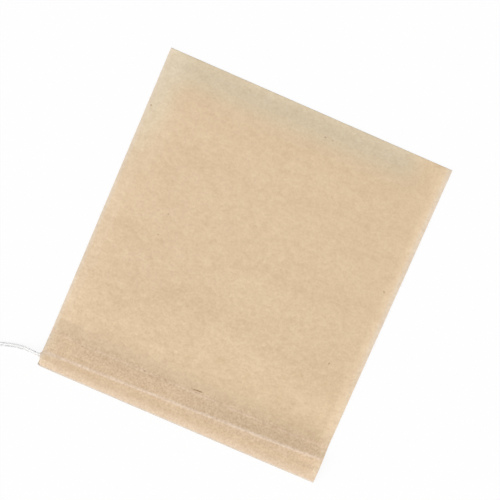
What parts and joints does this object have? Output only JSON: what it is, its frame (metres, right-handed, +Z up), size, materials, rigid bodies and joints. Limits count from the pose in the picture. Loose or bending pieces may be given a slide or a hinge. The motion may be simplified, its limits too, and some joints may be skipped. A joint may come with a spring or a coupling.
{
  "type": "drawstring tea bag",
  "caption": "Flat empty tea bag of unbleached filter paper with a folded hem round its mouth and a cotton drawstring through it.",
  "frame": {"origin": "under the middle of the paper bag, on the surface that it lies on", "axes": "+X along the mouth, away from the end where the drawstring leaves, +Y from the mouth to the closed end, +Z up out of the front panel"},
  "size_m": [0.0976, 0.0811, 0.0023],
  "materials": {
    "filter_paper": "unbleached, uncoated, finely mottled fibre",
    "cotton_thread": "undyed white cotton, two plies twisted"
  },
  "bodies": {
    "root": {"paper_bag": "filter_paper", "drawstring_in_hem": "cotton_thread", "drawstring_leg_front": "cotton_thread", "drawstring_leg_back": "cotton_thread", "drawstring_coil": "cotton_thread", "drawstring_knot": "cotton_thread"}
  },
  "joints": []
}
